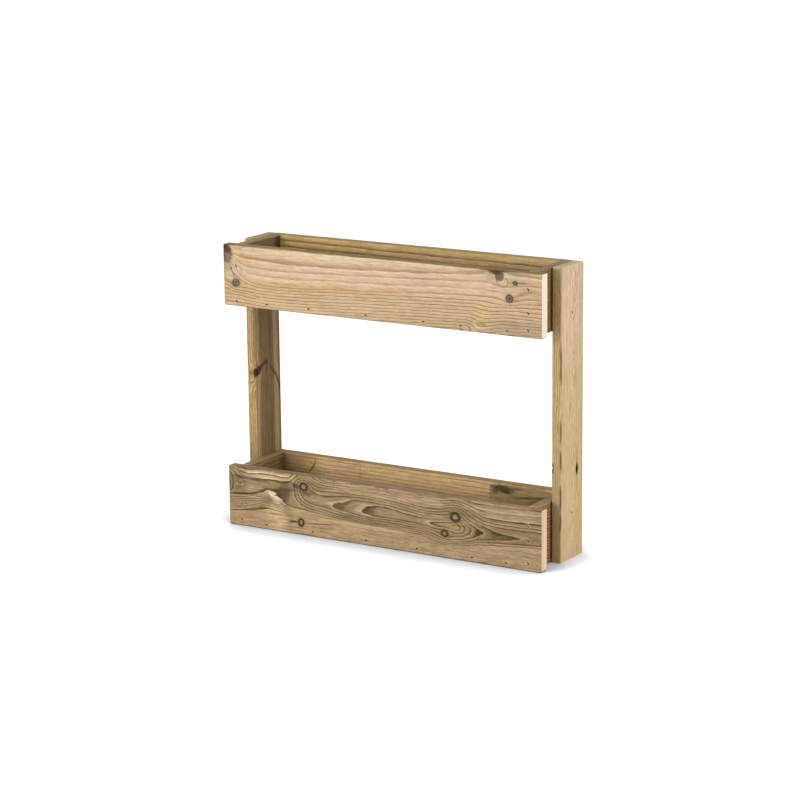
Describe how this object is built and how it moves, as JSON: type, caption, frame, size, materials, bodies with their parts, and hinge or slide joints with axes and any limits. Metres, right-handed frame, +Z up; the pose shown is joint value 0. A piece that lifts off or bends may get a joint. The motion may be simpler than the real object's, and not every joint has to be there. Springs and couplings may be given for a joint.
{
  "type": "wall planter",
  "caption": "Wooden wall planter with two open troughs, one above the other, stapled between two upright posts.",
  "frame": {"origin": "on the floor, under the middle of the planter's bounding box", "axes": "+X along the troughs, to the right seen from the front; +Y back to the wall; +Z up"},
  "size_m": [0.8, 0.183, 0.64],
  "materials": {
    "post_left": "planed softwood, pressure treated, unsealed, matt",
    "post_right": "planed softwood, pressure treated, unsealed, matt",
    "upper_front_board": "planed softwood, pressure treated, unsealed, matt",
    "upper_back_board": "planed softwood, pressure treated, unsealed, matt",
    "upper_left_end_panel": "planed softwood, pressure treated, unsealed, matt",
    "upper_right_end_panel": "planed softwood, pressure treated, unsealed, matt",
    "upper_bottom_board": "planed softwood, pressure treated, unsealed, matt",
    "lower_front_board": "planed softwood, pressure treated, unsealed, matt",
    "lower_back_board": "planed softwood, pressure treated, unsealed, matt",
    "lower_left_end_panel": "planed softwood, pressure treated, unsealed, matt",
    "lower_right_end_panel": "planed softwood, pressure treated, unsealed, matt",
    "lower_bottom_board": "planed softwood, pressure treated, unsealed, matt",
    "staple_wire": "galvanised wire, dulled brown where driven"
  },
  "bodies": {
    "root": {"post_left": "post_left", "post_right": "post_right", "upper_front_board": "upper_front_board", "upper_back_board": "upper_back_board", "upper_left_end_panel": "upper_left_end_panel", "upper_right_end_panel": "upper_right_end_panel", "upper_bottom_board": "upper_bottom_board", "lower_front_board": "lower_front_board", "lower_back_board": "lower_back_board", "lower_left_end_panel": "lower_left_end_panel", "lower_right_end_panel": "lower_right_end_panel", "lower_bottom_board": "lower_bottom_board", "upper_front_staple_left_1": "staple_wire", "upper_front_staple_left_2": "staple_wire", "upper_front_staple_left_3": "staple_wire", "upper_front_staple_right_1": "staple_wire", "upper_front_staple_right_2": "staple_wire", "upper_front_staple_right_3": "staple_wire", "upper_front_staple_bottom_1": "staple_wire", "upper_front_staple_bottom_2": "staple_wire", "upper_front_staple_bottom_3": "staple_wire", "upper_front_staple_bottom_4": "staple_wire", "upper_front_staple_bottom_5": "staple_wire", "upper_front_staple_bottom_6": "staple_wire", "upper_back_staple_left_1": "staple_wire", "upper_back_staple_left_2": "staple_wire", "upper_back_staple_right_1": "staple_wire", "upper_back_staple_right_2": "staple_wire", "upper_back_staple_bottom_1": "staple_wire", "upper_back_staple_bottom_2": "staple_wire", "upper_back_staple_bottom_3": "staple_wire", "upper_back_staple_bottom_4": "staple_wire", "upper_post_staple_left_1": "staple_wire", "upper_post_staple_left_2": "staple_wire", "upper_post_staple_right_1": "staple_wire", "upper_post_staple_right_2": "staple_wire", "lower_front_staple_left_1": "staple_wire", "lower_front_staple_left_2": "staple_wire", "lower_front_staple_left_3": "staple_wire", "lower_front_staple_right_1": "staple_wire", "lower_front_staple_right_2": "staple_wire", "lower_front_staple_right_3": "staple_wire", "lower_front_staple_bottom_1": "staple_wire", "lower_front_staple_bottom_2": "staple_wire", "lower_front_staple_bottom_3": "staple_wire", "lower_front_staple_bottom_4": "staple_wire", "lower_front_staple_bottom_5": "staple_wire", "lower_front_staple_bottom_6": "staple_wire", "lower_back_staple_left_1": "staple_wire", "lower_back_staple_left_2": "staple_wire", "lower_back_staple_right_1": "staple_wire", "lower_back_staple_right_2": "staple_wire", "lower_back_staple_bottom_1": "staple_wire", "lower_back_staple_bottom_2": "staple_wire", "lower_back_staple_bottom_3": "staple_wire", "lower_back_staple_bottom_4": "staple_wire", "lower_post_staple_left_1": "staple_wire", "lower_post_staple_left_2": "staple_wire", "lower_post_staple_right_1": "staple_wire", "lower_post_staple_right_2": "staple_wire"}
  },
  "joints": []
}
